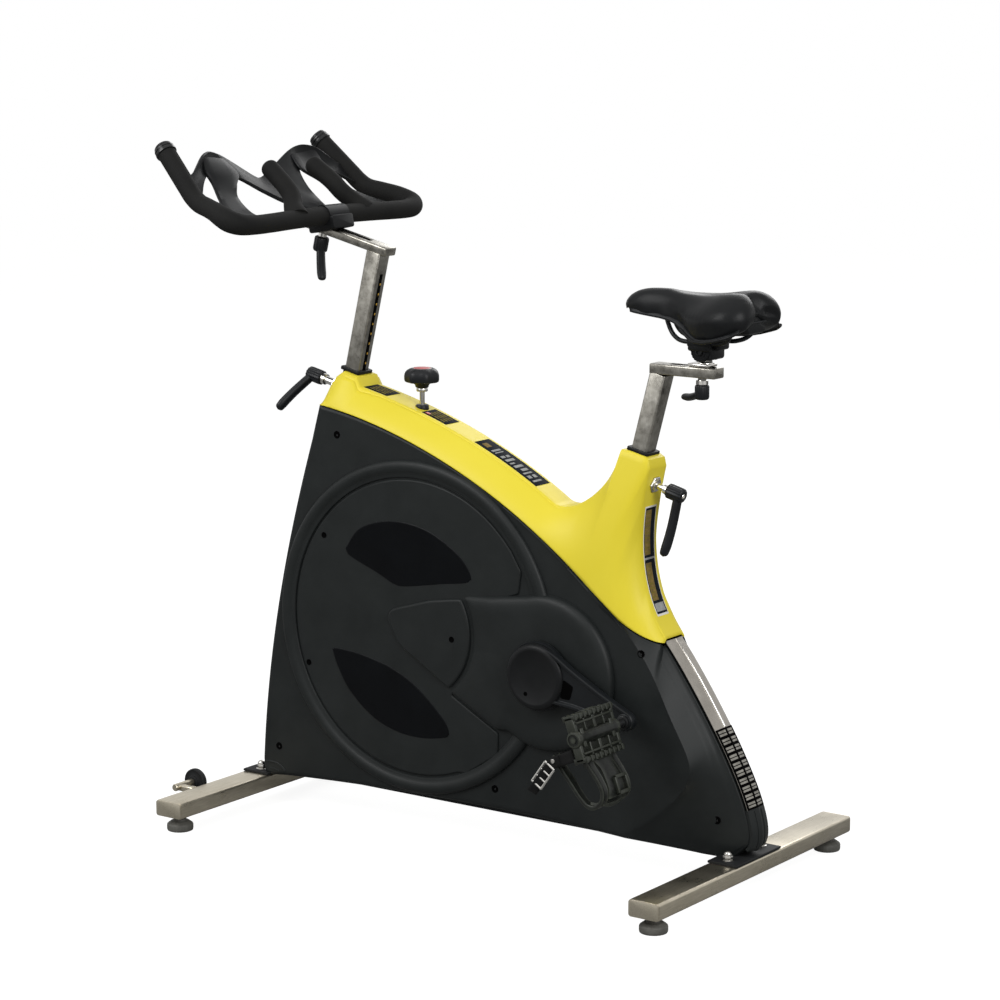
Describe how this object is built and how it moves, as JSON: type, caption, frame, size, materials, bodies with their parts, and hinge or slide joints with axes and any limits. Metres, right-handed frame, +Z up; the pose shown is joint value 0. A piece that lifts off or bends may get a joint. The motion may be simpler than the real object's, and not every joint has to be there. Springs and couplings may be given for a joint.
{
  "type": "exercise bike",
  "caption": "Indoor cycling bike with an enclosed belt-driven flywheel, sliding seat and handlebar posts, four-grip handlebar, toe-cage pedals and levelling feet.",
  "frame": {"origin": "on the floor, at the centre of the footprint", "axes": "+Z up, +X towards the rear (saddle), -X the front (handlebar), -Y the rider's left"},
  "size_m": [1.004, 0.56, 1.0943],
  "materials": {
    "foot_bar_steel": "satin",
    "post_steel": "satin",
    "frame_paint": "satin",
    "shell_plastic": "matte",
    "yellow_cover": "satin",
    "window_plastic": "gloss",
    "black_plastic": "matte",
    "lever_plastic": "satin",
    "strap_webbing": "woven",
    "screw_steel": "black oxide",
    "chrome": "polished",
    "machined_steel": "machined",
    "flywheel_iron": "painted",
    "pulley_aluminium": "anodised",
    "belt_rubber": "matte",
    "crank_paint": "satin",
    "grip_rubber": "matte",
    "rail_steel": "satin",
    "saddle_vinyl": "gloss",
    "felt": "felt",
    "foot_rubber": "matte"
  },
  "bodies": {
    "frame": {"front_foot_bar": "foot_bar_steel", "rear_foot_bar": "foot_bar_steel", "foot_bar_end_caps": "foot_bar_steel", "main_frame": "frame_paint", "post_bushings": "black_plastic", "left_side_shell": "shell_plastic", "right_side_shell": "shell_plastic", "top_cover": "yellow_cover", "left_flywheel_cover": "shell_plastic", "right_flywheel_cover": "shell_plastic", "flywheel_windows": "window_plastic", "access_cover": "shell_plastic", "belt_cover": "shell_plastic", "right_crank_cover": "shell_plastic", "shell_screws": "screw_steel", "rear_strip": "post_steel", "rear_guard": "shell_plastic", "mount_plates": "frame_paint", "mount_bolts": "chrome", "flywheel_axle": "machined_steel", "bearings": "machined_steel", "drive_belt": "belt_rubber", "brake_guide": "machined_steel"},
    "flywheel": {"flywheel": "flywheel_iron", "flywheel_pulley": "machined_steel"},
    "crankset": {"crank_axle": "machined_steel", "drive_pulley": "pulley_aluminium", "left_crank_arm": "crank_paint", "right_crank_arm": "crank_paint", "crank_caps": "crank_paint", "pedal_spindles": "machined_steel"},
    "left_pedal": {"left_pedal": "black_plastic", "left_toe_cage": "black_plastic", "left_pedal_strap": "strap_webbing"},
    "right_pedal": {"right_pedal": "black_plastic", "right_toe_cage": "black_plastic", "right_pedal_strap": "strap_webbing"},
    "handlebar_post": {"handlebar_post": "post_steel"},
    "handlebar": {"handlebar": "grip_rubber", "bottle_cradles": "black_plastic", "handlebar_clamp": "black_plastic", "handlebar_end_caps": "black_plastic"},
    "seat_post": {"seat_post": "post_steel"},
    "seat_slider": {"seat_slider": "chrome"},
    "saddle": {"saddle_clamp": "black_plastic", "saddle_rails": "rail_steel", "saddle": "saddle_vinyl"},
    "brake_rod": {"brake_rod": "chrome", "brake_pad": "felt"},
    "resistance_knob": {"resistance_knob": "black_plastic"},
    "handlebar_slide_lever": {"handlebar_slide_lever": "lever_plastic"},
    "seat_slide_lever": {"seat_slide_lever": "lever_plastic"},
    "handlebar_post_lever": {"handlebar_post_lever": "lever_plastic"},
    "seat_post_lever": {"seat_post_lever": "lever_plastic"},
    "left_transport_wheel": {"left_transport_wheel": "foot_rubber"},
    "right_transport_wheel": {"right_transport_wheel": "foot_rubber"},
    "foot_front_left": {"foot_front_left": "foot_rubber"},
    "foot_front_right": {"foot_front_right": "foot_rubber"},
    "foot_rear_left": {"foot_rear_left": "foot_rubber"},
    "foot_rear_right": {"foot_rear_right": "foot_rubber"}
  },
  "joints": [
    {"name": "flywheel_spin", "type": "hinge", "parent": "frame", "child": "flywheel", "pos_m": [-0.097, 0, 0.338], "axis": [0, 1, 0], "continuous": true},
    {"name": "crank_spin", "type": "hinge", "parent": "frame", "child": "crankset", "pos_m": [0.157, 0, 0.3], "axis": [0, 1, 0], "continuous": true},
    {"name": "left_pedal_spin", "type": "hinge", "parent": "crankset", "child": "left_pedal", "pos_m": [0.32082, -0.176, 0.25457], "axis": [0, 1, 0], "continuous": true},
    {"name": "right_pedal_spin", "type": "hinge", "parent": "crankset", "child": "right_pedal", "pos_m": [-0.00682, 0.176, 0.34543], "axis": [0, 1, 0], "continuous": true},
    {"name": "handlebar_height", "type": "slide", "parent": "frame", "child": "handlebar_post", "axis": [0.2317, 0, 0.9728], "range_m": [-0.07, 0.08]},
    {"name": "handlebar_reach", "type": "slide", "parent": "handlebar_post", "child": "handlebar", "axis": [0.9728, 0, -0.2317], "range_m": [-0.015, 0.05]},
    {"name": "seat_height", "type": "slide", "parent": "frame", "child": "seat_post", "axis": [0.2588, 0, 0.9659], "range_m": [-0.07, 0.1]},
    {"name": "seat_reach", "type": "slide", "parent": "seat_post", "child": "seat_slider", "axis": [1, 0, 0], "range_m": [-0.022, 0.015]},
    {"name": "saddle_tilt", "type": "hinge", "parent": "seat_slider", "child": "saddle", "pos_m": [0.4, 0, 0.809], "axis": [0, 1, 0], "range_deg": [-8, 8]},
    {"name": "brake_press", "type": "slide", "parent": "frame", "child": "brake_rod", "axis": [0, 0, -1], "range_m": [0, 0.004], "stiffness_N_per_m": 900, "springref_m": -0.006},
    {"name": "resistance_turn", "type": "hinge", "parent": "brake_rod", "child": "resistance_knob", "pos_m": [-0.124, 0, 0.73], "axis": [0, 0, 1], "range_deg": [-180, 540]},
    {"name": "handlebar_reach_lever_turn", "type": "hinge", "parent": "handlebar", "child": "handlebar_slide_lever", "pos_m": [-0.3241, 0, 0.93085], "axis": [-0.2317, 0, -0.9728], "range_deg": [0, 100]},
    {"name": "seat_reach_lever_turn", "type": "hinge", "parent": "seat_slider", "child": "seat_slide_lever", "pos_m": [0.392, 0, 0.746], "axis": [0, 0, -1], "range_deg": [0, 110]},
    {"name": "handlebar_height_lever_turn", "type": "hinge", "parent": "frame", "child": "handlebar_post_lever", "pos_m": [-0.3378, 0, 0.71372], "axis": [-0.9728, 0, 0.2317], "range_deg": [-60, 60]},
    {"name": "seat_height_lever_turn", "type": "hinge", "parent": "frame", "child": "seat_post_lever", "pos_m": [0.36016, 0, 0.58662], "axis": [0.9659, 0, -0.2588], "range_deg": [-90, 90]},
    {"name": "left_wheel_spin", "type": "hinge", "parent": "frame", "child": "left_transport_wheel", "pos_m": [-0.481, -0.148, 0.048], "axis": [0, 1, 0], "continuous": true},
    {"name": "right_wheel_spin", "type": "hinge", "parent": "frame", "child": "right_transport_wheel", "pos_m": [-0.481, 0.148, 0.048], "axis": [0, 1, 0], "continuous": true},
    {"name": "foot_front_left_turn", "type": "hinge", "parent": "frame", "child": "foot_front_left", "pos_m": [-0.424, -0.252, 0.02], "axis": [0, 0, 1], "continuous": true},
    {"name": "foot_front_right_turn", "type": "hinge", "parent": "frame", "child": "foot_front_right", "pos_m": [-0.424, 0.252, 0.02], "axis": [0, 0, 1], "continuous": true},
    {"name": "foot_rear_left_turn", "type": "hinge", "parent": "frame", "child": "foot_rear_left", "pos_m": [0.476, -0.252, 0.02], "axis": [0, 0, 1], "continuous": true},
    {"name": "foot_rear_right_turn", "type": "hinge", "parent": "frame", "child": "foot_rear_right", "pos_m": [0.476, 0.252, 0.02], "axis": [0, 0, 1], "continuous": true}
  ],
  "couplings": [
    {"joint": "crank_spin", "follows": "flywheel_spin", "ratio": 0.30769}
  ]
}
